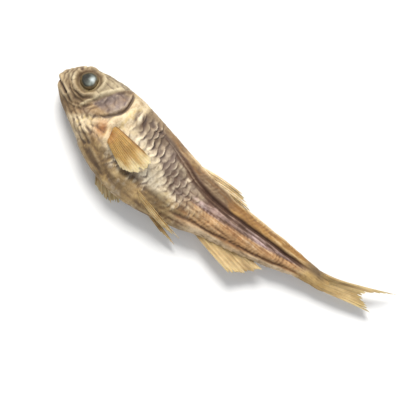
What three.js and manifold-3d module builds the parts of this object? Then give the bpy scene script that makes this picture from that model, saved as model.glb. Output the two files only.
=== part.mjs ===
// A freeze-dried minnow that lies on its right flank, as it dried on its tray.
// Millimetres. Snout towards -X, back towards +Y, left flank up (+Z), tray at Z = 0.
//
// Inside this file a point of the fish is (x, y, w): x from the snout to the tail, y up towards
// the back, and w sideways, positive on the left flank. A place round a body section is an
// angle phi: 0 on the back, 90 degrees on the left flank and 180 on the belly.
import * as THREE from 'three';
import { LoftGeometry } from 'three/addons/geometries/LoftGeometry.js';
import { mergeVertices } from 'three/addons/utils/BufferGeometryUtils.js';
import Module from 'manifold-3d';

const wasm = await Module();
wasm.setup();

// ---------------------------------------------------------------- driving dimensions
const BODY_LENGTH = 52; // snout to the root of the tail fin
const BODY_END = 55; // the flat stump inside the tail fin
const HEAD_LENGTH = 12.4; // snout to the rear edge of the gill cover
const NOSE_RADIUS = 3.4; // length of the rounding at the snout
const STUMP_LENGTH = 5.5; // the body thins over this length into the tail fin
const EYE = { x: 4.9, y: 1.3, radius: 1.6 };
const TAIL_FIN_LENGTH = 14; // longest ray, in the upper lobe
const MEMBRANE = 0.2; // thickness at a fin's margin

const BODY_SECTIONS = 80;
const SECTION_POINTS = 46;
const FLANK_CROWDING = 0.2; // how much closer together the points of a section stand on the flanks

// Outline of the body in side view, and its half width, as [x, value] pairs.
const back = profile([
  [0, 1.9], [3, 3.4], [6.5, 4.3], [10, 4.5], [14, 4.2], [20, 3.2], [27, 1.9], [34, 1.1], [43, 0.8],
  [BODY_LENGTH, 0.7],
]);
const belly = profile([
  [0, -2.3], [3, -3.9], [6, -5.5], [10, -7.6], [14, -9.1], [18, -9.9], [22, -9.8], [27, -8.8],
  [33, -7.3], [39, -5.9], [45, -4.2], [49, -2.8], [BODY_LENGTH, -2.3],
]);
const halfWidth = profile([
  [0, 1.9], [3, 2.8], [6.5, 3.6], [11, 4.1], [16, 3.95], [22, 3.45], [28, 2.8], [34, 2.2], [41, 1.6],
  [48, 1.1], [BODY_LENGTH, 0.85],
]);
// Height of the fish's middle plane over the tray.
const middlePlane = profile([
  [0, 3.5], [8, 3.7], [16, 3.6], [26, 3.2], [38, 2.7], [50, 2.3], [66, 1.5],
]);
// Height of the deep groove that runs under the back to the tail.
const backLine = profile([
  [17, 2.3], [22, 1.4], [26, 0.1], [30, -1], [35, -1.3], [41, -1], [BODY_LENGTH, -0.5],
]);
const BELLY_PINCH = 0.14; // how much narrower a section is below its middle than above it
const FLANK_FLATNESS = 0.84; // under 1 is squarer than an ellipse

// Forms of the dried skin. A height is how far the skin stands out, so that a hollow has one
// under 0. A reach is how far from its middle line or its middle a form fades out.
const EYEBALL = { height: 0.34, dimple: -0.12, dimpleReach: 0.5 };
const SOCKET = { offset: 1.95, height: -0.55, reach: 0.36 };
const SOCKET_RIM = { offset: 2.65, height: 0.24, reach: 0.45 };
const GAPE = { tip: [-1.2, -0.35], corner: [2.9, -2.45], offset: 0, height: -0.55, reach: 0.3 };
const LIPS = { offset: 0.62, height: 0.13, reach: 0.32 };
const NOSTRIL = { at: [2.5, 2.3], offset: 0, height: -0.3, reach: 0.4 };
const CHEEK = { at: [5.3, -2.5], height: -0.38, reach: [2.1, 1.4] };
const CHEEK_RIDGE = { offset: 0, height: 0.26, reach: 0.4 };
const GILL_REAR_Y = 1.2; // where the gill cover reaches furthest back
const GILL_PLATE = 0.32; // height of the gill cover at its rear edge
const GILL_HOLLOW = { at: [9.9, 0.6], height: -0.28, reach: [1.2, 2], lean: 0.35 };
const GILL_SLIT = { offset: 0.42, height: -0.36, reach: 0.36 };
const SHOULDER = { offset: 1.3, height: 0.22, reach: 0.5 };
const THROAT = { offset: 1.3, height: -0.2, reach: 0.4 };
const BACK_GROOVE = { offset: 0, height: -0.5, reach: 0.38 };
const MID_GROOVE = { share: 0.46, height: -0.3, reach: 0.4 }; // share of the body's depth
const LOW_GROOVE = { share: 0.15, height: -0.32, reach: 0.34 };
const MUSCLE_STRIP = { share: 0.32, height: 0.16, reach: 0.7 };
const BELLY_DENT = { at: [18.5, -6.4], height: -0.6, reach: [4.6, 1.5] };
const RIB_DENT = { at: [26, -4.4], height: -0.34, reach: [3.4, 1.3] };
const NECK_DENT = { at: [16.5, 2.2], height: -0.26, reach: [2.6, 0.9] };
const UNEVENNESS = 0.055;
const KEEL = { height: 0.32, reach: 0.06 };
const CREST = { height: 0.16, reach: 0.08 };

// ---------------------------------------------------------------- small helpers
const radians = THREE.MathUtils.degToRad;

// Rises from 0 to 1 between two values.
const step = (from, to, value) => THREE.MathUtils.smoothstep(value, from, to);

// 1 between two values, and 0 further than soft outside them.
function within(from, to, soft, value) {
  return step(from - soft, from, value) * (1 - step(to, to + soft, value));
}

// A bell curve, 1 in its middle.
const bump = (distance, reach) => Math.exp(-((distance / reach) ** 2));

// A long form whose middle runs at an offset from the line that the distance is measured to.
const ridge = (distance, { offset, height, reach }) => height * bump(distance - offset, reach);

// A round or oval form.
function dent(x, y, { at, height, reach }) {
  return height * bump(Math.hypot((x - at[0]) / reach[0], (y - at[1]) / reach[1]), 1);
}

// A smooth curve through [place, value] pairs, level with its last values beyond them.
function profile(pairs) {
  const slope = pairs.map((pair, i) => {
    const before = pairs[Math.max(i - 1, 0)];
    const after = pairs[Math.min(i + 1, pairs.length - 1)];
    return (after[1] - before[1]) / (after[0] - before[0]);
  });
  return (place) => {
    const last = pairs.length - 1;
    const at = THREE.MathUtils.clamp(place, pairs[0][0], pairs[last][0]);
    let i = 0;
    while (i < last - 1 && at > pairs[i + 1][0]) {
      i += 1;
    }
    const span = pairs[i + 1][0] - pairs[i][0];
    const t = (at - pairs[i][0]) / span;
    const t2 = t * t;
    const t3 = t2 * t;
    return (
      (2 * t3 - 3 * t2 + 1) * pairs[i][1] +
      (t3 - 2 * t2 + t) * span * slope[i] +
      (3 * t2 - 2 * t3) * pairs[i + 1][1] +
      (t3 - t2) * span * slope[i + 1]
    );
  };
}

// Distance from (x, y) to the segment between two points.
function fromSegment(x, y, [x0, y0], [x1, y1]) {
  const along = ((x - x0) * (x1 - x0) + (y - y0) * (y1 - y0)) / ((x1 - x0) ** 2 + (y1 - y0) ** 2);
  const t = THREE.MathUtils.clamp(along, 0, 1);
  return Math.hypot(x - x0 - t * (x1 - x0), y - y0 - t * (y1 - y0));
}

// A number from 0 to 1 that looks random but is the same in every build.
function chance(index, seed) {
  const spread = Math.sin(index * 12.9898 + seed * 78.233) * 43758.5453;
  return spread - Math.floor(spread);
}

// ---------------------------------------------------------------- the smooth body
function sectionAt(x) {
  const nose = Math.sqrt(1 - Math.max(0, 1 - x / NOSE_RADIUS) ** 2);
  const stump = Math.sqrt(1 - Math.max(0, (x - BODY_END) / STUMP_LENGTH + 1) ** 2);
  return {
    middle: (back(x) + belly(x)) / 2,
    half: ((back(x) - belly(x)) / 2) * nose * stump ** 0.5,
    wide: halfWidth(x) * nose * stump,
    pinch: BELLY_PINCH * step(1, 8, x) * (1 - step(26, 36, x)),
  };
}

function smoothSkin(x, phi) {
  const { middle, half, wide, pinch } = sectionAt(x);
  const up = Math.cos(phi);
  const out = Math.sin(phi);
  const w = wide * Math.sign(out) * Math.abs(out) ** FLANK_FLATNESS * (1 + pinch * up);
  return new THREE.Vector3(x, middle + half * up, w);
}

// How far the smooth skin stands out sideways at (x, y).
function flankAt(x, y) {
  const { middle, half, wide, pinch } = sectionAt(x);
  const up = THREE.MathUtils.clamp((y - middle) / half, -1, 1);
  return wide * Math.sqrt(1 - up * up) ** FLANK_FLATNESS * (1 + pinch * up);
}

// ---------------------------------------------------------------- relief of the dried skin
// Each function gives how far the skin stands out at (x, y) of the side view.
function eyeRelief(x, y) {
  const r = Math.hypot(x - EYE.x, y - EYE.y);
  const ball = EYEBALL.height * Math.max(0, 1 - (r / EYE.radius) ** 2);
  return ball + EYEBALL.dimple * bump(r, EYEBALL.dimpleReach) + ridge(r, SOCKET) + ridge(r, SOCKET_RIM);
}

function mouthRelief(x, y) {
  const gape = fromSegment(x, y, GAPE.tip, GAPE.corner);
  const nostril = Math.hypot(x - NOSTRIL.at[0], y - NOSTRIL.at[1]);
  return ridge(gape, GAPE) + ridge(gape, LIPS) + ridge(nostril, NOSTRIL);
}

// The ridge behind the cheek, and the rear edge of the gill cover, which sweeps forwards below.
const cheekEdge = (y) => 7.7 + 0.6 * y + 0.03 * y * y;
const gillSweep = (y) => (y > GILL_REAR_Y ? 0.1 : 0.2);
const gillEdge = (y) => HEAD_LENGTH - gillSweep(y) * (y - GILL_REAR_Y) ** 2;

// Distance behind the gill cover's rear edge.
function behindGill(x, y) {
  return (x - gillEdge(y)) / Math.hypot(1, 2 * gillSweep(y) * (y - GILL_REAR_Y));
}

function gillCoverRelief(x, y) {
  const cheekRidge = ridge(x - cheekEdge(y), CHEEK_RIDGE) * within(-2.8, 3, 0.8, y);
  const hollow = dent(x - GILL_HOLLOW.lean * y, y, GILL_HOLLOW);
  const behind = behindGill(x, y);
  const plate = GILL_PLATE * step(6.5, 9, x) * (1 - step(-0.3, 0.2, behind));
  const edge = (plate + ridge(behind, GILL_SLIT) + ridge(behind, SHOULDER)) * within(-3.4, 3, 1.2, y);
  const throat = ridge(y - belly(x), THROAT) * within(3.5, 9, 1, x);
  return dent(x, y, CHEEK) + cheekRidge + hollow + edge + throat;
}

// Muscle strips that the skin has shrunk onto, behind the belly.
function muscleRelief(x, y) {
  const depth = back(x) - belly(x);
  let strips = 0;
  for (const { share, height, reach } of [MID_GROOVE, LOW_GROOVE, MUSCLE_STRIP]) {
    strips += height * bump(y - belly(x) - share * depth, reach);
  }
  const groove = ridge(y - backLine(x), BACK_GROOVE);
  return (groove * step(17, 26, x) + strips * step(22, 30, x)) * (1 - step(49, 52, x));
}

// Hollows over the empty belly and behind the head, and a slow unevenness, different on each flank.
function shrinkRelief(x, y, side) {
  const dents = dent(x - side, y, BELLY_DENT) + dent(x + side, y, RIB_DENT) + dent(x, y, NECK_DENT);
  const slow =
    Math.sin(0.55 * x + 1.3 * y + 1.7 * side) +
    Math.sin(0.95 * x - 0.8 * y + 2.1 * side + 1) +
    Math.sin(1.7 * x + 0.5 * y - 0.9 * side + 2.4);
  return dents + UNEVENNESS * slow * step(1, 4, x) * (1 - step(48, 53, x));
}

function reliefAt(x, y, phi) {
  const out = Math.sin(phi);
  const side = Math.sign(out);
  const onFlank = step(0, 0.35, Math.abs(out));
  const keel = KEEL.height * bump(Math.cos(phi) + 1, KEEL.reach) * within(11, 30, 3, x);
  const crest = CREST.height * bump(Math.cos(phi) - 1, CREST.reach) * within(12, 46, 4, x);
  const head = eyeRelief(x, y) + gillCoverRelief(x, y);
  const flank = muscleRelief(x, y) + shrinkRelief(x, y, side);
  return mouthRelief(x, y) + (head + flank) * onFlank + keel + crest;
}

function skin(x, phi) {
  const small = 0.02; // distance, and angle, to the neighbouring points that give the normal
  const point = smoothSkin(x, phi);
  const along = smoothSkin(x + small, phi).sub(smoothSkin(Math.max(x - small, 0), phi));
  const around = smoothSkin(x, phi + small).sub(smoothSkin(x, phi - small));
  const normal = around.cross(along).normalize();
  return point.addScaledVector(normal, reliefAt(point.x, point.y, phi));
}

// ---------------------------------------------------------------- lying on the tray
const TRAY_SOFTNESS = 0.4;
const SUNK = 0.12; // the flattened flank reaches this far under the tray and is then cut level

// Height that is left of a height once it is pressed on the tray, with a soft bend at its edge.
function pressed(height) {
  if (height > TRAY_SOFTNESS) {
    return height;
  }
  if (height < -TRAY_SOFTNESS) {
    return 0;
  }
  return (height + TRAY_SOFTNESS) ** 2 / (4 * TRAY_SOFTNESS);
}

function onTray(point, flattened) {
  const z = middlePlane(point.x) + point.z;
  return new THREE.Vector3(point.x, point.y, flattened ? pressed(z + SUNK) - SUNK : z);
}

// ---------------------------------------------------------------- solids
function solidOf({ attributes, index }) {
  const shape = new THREE.BufferGeometry();
  shape.setAttribute('position', attributes.position);
  shape.setIndex(index);
  const merged = mergeVertices(shape, 1e-4);
  return new wasm.Manifold(
    new wasm.Mesh({
      numProp: 3,
      vertProperties: merged.attributes.position.array,
      triVerts: new Uint32Array(merged.index.array),
    }),
  );
}

const MAX_BOW = 3.2;

// Sections of the head and shoulder bow forwards at the throat, as the gill cover's edge does.
function bowed(x, phi) {
  const { middle, half } = sectionAt(x);
  const bow = Math.max(gillEdge(middle + half * Math.cos(phi)) - HEAD_LENGTH, -MAX_BOW);
  const share = x < HEAD_LENGTH ? x / HEAD_LENGTH : Math.max(0, 1 - (x - HEAD_LENGTH) / HEAD_LENGTH);
  return x + bow * share;
}

function bodySolid() {
  const sections = [];
  for (let i = 0; i < BODY_SECTIONS; i += 1) {
    const t = i / (BODY_SECTIONS - 1);
    const x = 0.03 + (BODY_END - 0.06) * (0.35 * t + 0.65 * t * t);
    const section = [];
    for (let j = 0; j < SECTION_POINTS; j += 1) {
      const turn = (2 * Math.PI * j) / SECTION_POINTS;
      const phi = turn + FLANK_CROWDING * Math.sin(2 * turn);
      section.push(onTray(skin(bowed(x, phi), phi), true));
    }
    sections.push(section);
  }
  return solidOf(new LoftGeometry(sections, { capStart: true, capEnd: true }));
}

// A fin is lofted ray by ray. Every second section is a ray, and the ones between are membrane,
// which is thinner and torn shorter. a runs across the fin from its lowest or rearmost ray, and b
// out along each ray, both from 0 to 1.
function finSolid({ rays, steps, root, heading, length, sheet, thickness, seed }) {
  const sections = [];
  for (let i = 0; i <= 2 * rays; i += 1) {
    const a = i / (2 * rays);
    const isRay = i % 2 === 0;
    const torn = 1 - 0.06 * chance(i, seed) - (isRay ? 0 : 0.025);
    const reach = length(a) * torn;
    const [x0, y0] = root(a);
    const upper = [];
    const lower = [];
    let x = x0;
    let y = y0;
    for (let k = 0; k <= steps; k += 1) {
      const b = k / steps;
      const thick = (thickness * (1 - b) ** 1.4 + MEMBRANE) * (isRay ? 1 : 0.72);
      const w = sheet(a, b, x, y);
      upper.push(onTray(new THREE.Vector3(x, y, w + thick / 2), false));
      lower.push(onTray(new THREE.Vector3(x, y, w - thick / 2), false));
      const angle = radians(heading(a, b));
      x += (Math.cos(angle) * reach) / steps;
      y += (Math.sin(angle) * reach) / steps;
    }
    sections.push([...upper, ...lower.reverse()]);
  }
  return solidOf(new LoftGeometry(sections, { capStart: true, capEnd: true }));
}

// ---------------------------------------------------------------- the fins
// Forked tail fin, dried half shut and bent up towards the back.
const tailFin = {
  rays: 12,
  steps: 8,
  root: (a) => [50.6 + 0.6 * Math.abs(2 * a - 1), -0.8 + 1.25 * (2 * a - 1)],
  heading: (a, b) => 6 + 14 * step(0, 0.5, b) + (a - 0.5) * (4 + 9 * b),
  length: (a) => {
    const upper = Math.max(0, 2 * a - 1);
    const lower = Math.max(0, 1 - 2 * a);
    return 9.6 + (TAIL_FIN_LENGTH - 9.6) * upper ** 1.5 + 2.3 * lower ** 1.5;
  },
  sheet: (a, b) => 0.4 * b * Math.sin(7 * a + 3.5 * b) + 0.5 * b * b * (a - 0.5),
  thickness: 1,
  seed: 3,
};

// Left pectoral fin, folded back along the flank.
const leftPectoral = {
  rays: 7,
  steps: 6,
  root: (a) => [13 - 0.7 * a, -4.6 + 2.5 * a],
  heading: (a, b) => -27 + 25 * a + 4 * b * (1 - 2 * a),
  length: (a) => 5.2 + 9.6 * a - 6.2 * a * a,
  sheet: (a, b, x, y) => flankAt(x, y) - 0.5 + 0.95 * step(0, 0.22, b) + 0.5 * b * b - 0.5 * b * (1 - a),
  thickness: 0.5,
  seed: 11,
};

// Right pectoral fin, pressed out flat under the belly.
const rightPectoral = {
  rays: 6,
  steps: 6,
  root: (a) => [12.2 + 1.1 * a, -5.6 + 1.6 * a],
  heading: (a, b) => -63 + 16 * a + 9 * b,
  length: (a) => 5.9 + 6.6 * a - 3 * a * a,
  sheet: (a, b, x) => {
    const tray = 0.5 - middlePlane(x) + 0.3 * b * Math.sin(6 * a + 1);
    return THREE.MathUtils.lerp(-flankAt(12.6, -5) + 0.9, tray, step(0, 0.6, b));
  },
  thickness: 0.5,
  seed: 17,
};

// The two pelvic fins, narrow blades that point back under the belly. side is 1 on the left.
const pelvic = (side) => ({
  rays: 3,
  steps: 7,
  root: (a) => [23.1 - 1.5 * a, belly(22) + 1.1 + 1.2 * a],
  heading: (a, b) => (side > 0 ? -14 : -19) + 3 * a + 7 * b * (1 - a),
  length: (a) => 5.5 + 5 * a,
  sheet: (a, b) => side * (1.35 + 0.4 * a - 0.35 * b) + 0.2 * Math.sin(4 * b + a),
  thickness: 0.6,
  seed: 23 + side,
});

// Anal fin, folded back under the tail.
const analFin = {
  rays: 7,
  steps: 6,
  root: (a) => [31.8 + 9.6 * a, belly(31.8 + 9.6 * a) + 0.7],
  heading: (a, b) => -15 + 4 * a + 7 * b,
  length: (a) => 9.8 - 6.2 * a,
  sheet: (a, b) => 0.35 * Math.sin(5 * a + 2.5 * b) * b + 0.2 * b,
  thickness: 0.5,
  seed: 31,
};

// Dorsal fin, collapsed along the back and leaning to the left.
const dorsalFin = {
  rays: 6,
  steps: 6,
  root: (a) => [31.8 - 6.2 * a, back(31.8 - 6.2 * a) - 0.5],
  heading: (a, b) => 9 + 3 * a - 15 * b,
  length: (a) => 6 + 4 * a,
  sheet: (a, b) => 0.25 + 0.9 * b + 0.15 * Math.sin(9 * a),
  thickness: 0.5,
  seed: 41,
};

// ---------------------------------------------------------------- one fused fish
function minnowGeometry() {
  const fins = [tailFin, leftPectoral, rightPectoral, pelvic(1), pelvic(-1), analFin, dorsalFin];
  let fish = bodySolid();
  for (const fin of fins) {
    fish = fish.add(finSolid(fin));
  }
  const tray = new THREE.BoxGeometry(200, 200, 20).translate(0, 0, -10);
  fish = fish.subtract(solidOf(tray));
  const { vertProperties, triVerts } = fish.getMesh();
  const geometry = new THREE.BufferGeometry();
  geometry.setAttribute('position', new THREE.BufferAttribute(new Float32Array(vertProperties), 3));
  geometry.setIndex(new THREE.BufferAttribute(new Uint32Array(triVerts), 1));
  geometry.computeBoundingBox();
  const { min, max } = geometry.boundingBox;
  geometry.translate(-(min.x + max.x) / 2, -(min.y + max.y) / 2, 0);
  geometry.computeVertexNormals();
  return geometry;
}

const driedSkin = new THREE.MeshStandardMaterial({ color: 0xc3a97c, roughness: 0.72, metalness: 0 });
const minnow = new THREE.Mesh(minnowGeometry(), driedSkin);
minnow.name = 'minnow';

const group = new THREE.Group();
group.add(minnow);
export default group;
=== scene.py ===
# Looks of a freeze-dried minnow that lies on its right flank.
#
# The fish is built again, finely, from the same named sizes as its solid. A point of it is
# (x, y, w) in millimetres: x from the snout to the tail, y up towards the back, and w sideways,
# positive on the left flank. phi runs round a body section: 0 on the back, pi / 2 on the left flank.
import math

import bpy
import numpy as np
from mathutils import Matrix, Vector


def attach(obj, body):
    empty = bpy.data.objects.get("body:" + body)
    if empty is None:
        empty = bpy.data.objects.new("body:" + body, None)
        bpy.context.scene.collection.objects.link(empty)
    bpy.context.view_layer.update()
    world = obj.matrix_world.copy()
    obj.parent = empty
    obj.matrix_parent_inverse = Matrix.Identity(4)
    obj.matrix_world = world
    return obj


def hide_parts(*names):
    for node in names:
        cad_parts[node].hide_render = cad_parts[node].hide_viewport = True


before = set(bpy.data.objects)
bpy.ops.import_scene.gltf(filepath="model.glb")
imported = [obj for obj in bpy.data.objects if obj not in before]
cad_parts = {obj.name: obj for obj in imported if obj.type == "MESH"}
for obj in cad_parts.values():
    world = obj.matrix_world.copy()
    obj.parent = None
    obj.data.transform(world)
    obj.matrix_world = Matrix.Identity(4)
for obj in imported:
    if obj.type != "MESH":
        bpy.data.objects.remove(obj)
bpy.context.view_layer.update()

# ---- sizes, as in the solid
ORIGIN_X = 32.035  # the solid's middle, in the fish's own x and y
ORIGIN_Y = -3.056
BODY_LENGTH = 52.0
BODY_END = 55.0
HEAD_LENGTH = 12.4
GILL_REAR_Y = 1.2
NOSE_RADIUS = 3.4
STUMP_LENGTH = 5.5
EYE_X = 4.9
EYE_Y = 1.3
EYE_RADIUS = 1.6
TAIL_FIN_LENGTH = 14.0
MEMBRANE = 0.2
BELLY_PINCH = 0.14
FLANK_FLATNESS = 0.84
TRAY_SOFTNESS = 0.4  # how softly the pressed side bends up from the tray
SUNK = 0.12  # how much of that bend the tray cuts off flat
FLANK_CROWDING = 0.2  # how much the points of a section crowd towards the flanks

SCALE_LENGTH = 1.0
SCALE_HEIGHT = 1.5
RAY_JOINT = 0.42  # length of one joint of a ray
POINTED = 1.45  # outline of a scale: 1 would be a rhomb, 2 an ellipse

# How finely the meshes are divided.
BODY_RINGS = 590
RING_POINTS = 160
EYE_RINGS = 22
EYE_POINTS = 48
FIN_STEPS = 44  # along each ray

# Forms of relief in millimetres, hollows negative. A ridge or groove is (height, reach), and a
# dent is (x, y, reach along, reach across, height).
SOCKET = (-0.6, 1.75)
TRENCH_RADIUS = 1.8
TRENCH_REACH = 0.28
RIM_RADIUS = 2.5
RIM_REACH = 0.34
ORBIT_TURN = 2.4  # angle of the socket's deepest side
CHEEK = (5.3, -2.5, 2.1, 1.4, -0.38)
CHEEK_FOLD = (0.14, 0.35)
CHEEK_RIDGE = (0.24, 0.36)
RIDGE_HOLLOW = (-0.16, 0.3)
GILL_HOLLOW = (9.9, 0.6, 1.2, 2, -0.28)
GILL_PLATE = 0.32
GILL_PLATE_LOW = 0.16
GILL_SLIT = 0.34
GILL_SLIT_LOW = 0.06
SHOULDER = (0.22, 0.5)
THROAT_FOLDS = ((1.5, (-0.2, 0.26)), (2.4, (-0.08, 0.2)), (0.7, (-0.07, 0.2)))
GAPE = ((-1.2, -0.35), (2.9, -2.45))
LIP_FOLD = ((0.9, 0.5), (3.2, -1.6))
NOSTRIL = (2.5, 2.3)
BACK_GROOVE = (-0.54, 0.28)
UNDER_GROOVE = (-0.16, 0.18)
MID_GROOVE = (-0.2, 0.3)
LOW_GROOVE = (-0.26, 0.3)
MUSCLE_STRIP = (0.16, 0.7)
BELLY_DENT = (18.5, -6.4, 4.6, 1.5, -0.6)
RIB_DENT = (26, -4.4, 3.4, 1.3, -0.34)
NECK_DENT = (16.5, 2.2, 2.6, 0.9, -0.26)
FLAKE = (15.3, 1.5, 0.32, 0.85, 0.3)
FLAKE_HOLE = (16.1, 1.2, 0.5, 0.95, -0.32)
FLAKE_LEAN = 0.3
FIN_SEAM = ((12.4, -2.4), (13, -4.5))
FIN_SEAM_RIDGE = (0.3, 0.5)
SCALE_RELIEF = 0.09
FOLD_RELIEF = 0.14
KEEL = (0.32, 0.06)  # these two reach in terms of the cosine of phi
CREST = (0.16, 0.08)


# ---- small helpers
def step(start, end, value):
    """0 up to the start, 1 from the end on, and a smooth ramp between them."""
    t = np.clip((value - start) / (end - start), 0, 1)
    return t * t * (3 - 2 * t)


def within(start, end, soft, value):
    """1 from start to end, and a smooth ramp down to 0 over the soft width outside them."""
    return step(start - soft, start, value) * (1 - step(end, end + soft, value))


def bump(distance, reach):
    """1 at no distance, and falling off like a bell over the reach."""
    return np.exp(-((distance / reach) ** 2))


def ridge(distance, form):
    height, reach = form
    return height * bump(distance, reach)


def patch(x, y, reach_x, reach_y):
    return bump(np.hypot(x / reach_x, y / reach_y), 1)


def dent(x, y, form):
    at_x, at_y, reach_x, reach_y, height = form
    return height * patch(x - at_x, y - at_y, reach_x, reach_y)


def mix(first, second, share):
    return first + (second - first) * share


def profile(pairs):
    """A smooth curve through [place, value] pairs, level with its last values beyond them."""
    places = np.array([pair[0] for pair in pairs], float)
    values = np.array([pair[1] for pair in pairs], float)
    slopes = np.empty(len(pairs))
    for i in range(len(pairs)):
        before = max(i - 1, 0)
        after = min(i + 1, len(pairs) - 1)
        slopes[i] = (values[after] - values[before]) / (places[after] - places[before])

    def curve(place):
        at = np.clip(place, places[0], places[-1])
        i = np.clip(np.searchsorted(places, at, side="right") - 1, 0, len(pairs) - 2)
        span = places[i + 1] - places[i]
        t = (at - places[i]) / span
        t2 = t * t
        t3 = t2 * t
        start = (2 * t3 - 3 * t2 + 1) * values[i] + (t3 - 2 * t2 + t) * span * slopes[i]
        end = (3 * t2 - 2 * t3) * values[i + 1] + (t3 - t2) * span * slopes[i + 1]
        return start + end

    return curve


def from_segment(x, y, start, end):
    """Distance from the straight line between two points."""
    run = end[0] - start[0]
    rise = end[1] - start[1]
    t = np.clip(((x - start[0]) * run + (y - start[1]) * rise) / (run * run + rise * rise), 0, 1)
    return np.hypot(x - start[0] - t * run, y - start[1] - t * rise)


def chance(index, seed):
    """A number from 0 to 1 that looks random, the same each time for the same index."""
    spread = np.sin(index * 12.9898 + seed * 78.233) * 43758.5453
    return spread - np.floor(spread)


def noise(x, y, w, seed):
    """Smooth noise from -1 to 1 that changes over a distance of about 1. Each seed gives its own."""
    size = 29
    table = np.random.default_rng(seed).uniform(-1, 1, (size, size, size))
    cells = []
    parts = []
    for value in (x, y, w):
        low = np.floor(value).astype(int)
        part = value - low
        cells.append(low)
        parts.append(part * part * (3 - 2 * part))
    total = 0
    for i in (0, 1):
        for j in (0, 1):
            for k in (0, 1):
                corner = table[(cells[0] + i) % size, (cells[1] + j) % size, (cells[2] + k) % size]
                share_x = parts[0] if i else 1 - parts[0]
                share_y = parts[1] if j else 1 - parts[1]
                share_w = parts[2] if k else 1 - parts[2]
                total = total + corner * share_x * share_y * share_w
    return total


def rough_noise(x, y, w, seed):
    """Three octaves of noise, from about -1 to 1."""
    first = noise(x, y, w, seed)
    second = noise(2.1 * x, 2.1 * y, 2.1 * w, seed + 1)
    third = noise(4.3 * x, 4.3 * y, 4.3 * w, seed + 2)
    return 0.6 * first + 0.3 * second + 0.18 * third


def colour(red, green, blue):
    return np.array([red, green, blue]) / 255


def tinted(base, tint, share):
    return base + (tint - base) * np.clip(share, 0, 1)[..., None]


def layered(paint, layers):
    """The paint with layers of (colour, share) laid over it one after the other."""
    for tint, share in layers:
        paint = tinted(paint, tint, share)
    return paint


def to_linear(value):
    value = np.clip(value, 0, 1)
    return np.where(value <= 0.04045, value / 12.92, ((value + 0.055) / 1.055) ** 2.4)


# ---- the smooth body
# Heights of the back and the belly, half the width, and the middle plane's height over the tray.
back = profile([
    [0, 1.9], [3, 3.4], [6.5, 4.3], [10, 4.5], [14, 4.2], [20, 3.2], [27, 1.9], [34, 1.1],
    [43, 0.8], [BODY_LENGTH, 0.7],
])
belly = profile([
    [0, -2.3], [3, -3.9], [6, -5.5], [10, -7.6], [14, -9.1], [18, -9.9], [22, -9.8], [27, -8.8],
    [33, -7.3], [39, -5.9], [45, -4.2], [49, -2.8], [BODY_LENGTH, -2.3],
])
half_width = profile([
    [0, 1.9], [3, 2.8], [6.5, 3.6], [11, 4.1], [16, 3.95], [22, 3.45], [28, 2.8], [34, 2.2],
    [41, 1.6], [48, 1.1], [BODY_LENGTH, 0.85],
])
middle_plane = profile([
    [0, 3.5], [8, 3.7], [16, 3.6], [26, 3.2], [38, 2.7], [50, 2.3], [66, 1.5],
])

# Height of the deep groove that runs under the back to the tail.
back_line = profile([
    [17, 2.3], [22, 1.4], [26, 0.1], [30, -1], [35, -1.3], [41, -1], [BODY_LENGTH, -0.5],
])


def section_at(x):
    """Middle height, half height, half width and pinch of the belly of the section at x."""
    nose = np.sqrt(1 - np.clip(1 - x / NOSE_RADIUS, 0, 1) ** 2)
    stump = np.sqrt(1 - np.clip((x - BODY_END) / STUMP_LENGTH + 1, 0, 1) ** 2)
    middle = (back(x) + belly(x)) / 2
    half = (back(x) - belly(x)) / 2 * nose * stump**0.5
    wide = half_width(x) * nose * stump**2
    pinch = BELLY_PINCH * step(1, 8, x) * (1 - step(26, 36, x))
    return middle, half, wide, pinch


def smooth_skin(x, phi):
    middle, half, wide, pinch = section_at(x)
    up = np.cos(phi)
    out = np.sin(phi)
    w = wide * np.sign(out) * np.abs(out) ** FLANK_FLATNESS * (1 + pinch * up)
    return middle + half * up, w


def flank_at(x, y):
    """How far the left flank lies from the middle plane."""
    middle, half, wide, pinch = section_at(x)
    up = np.clip((y - middle) / half, -1, 1)
    return wide * np.sqrt(1 - up * up) ** FLANK_FLATNESS * (1 + pinch * up)


def cheek_edge(y):
    """Where the cheek ends and the gill cover starts."""
    return 7.7 + 0.6 * y + 0.03 * y * y


def gill_sweep(y):
    return np.where(y > GILL_REAR_Y, 0.1, 0.2)


def gill_edge(y):
    """Rear edge of the gill cover, which reaches back farthest at GILL_REAR_Y."""
    return HEAD_LENGTH - gill_sweep(y) * (y - GILL_REAR_Y) ** 2


def behind_gill(x, y):
    """Distance behind the rear edge of the gill cover."""
    return (x - gill_edge(y)) / np.hypot(1, 2 * gill_sweep(y) * (y - GILL_REAR_Y))


def on_tray(x, w):
    """Height over the tray. The flank that the fish lies on is pressed flat."""
    over = middle_plane(x) + w + SUNK
    soft = (over + TRAY_SOFTNESS) ** 2 / (4 * TRAY_SOFTNESS)
    kept = np.where(over > TRAY_SOFTNESS, over, np.where(over < -TRAY_SOFTNESS, 0, soft))
    return np.maximum(kept - SUNK, 0)


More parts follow.
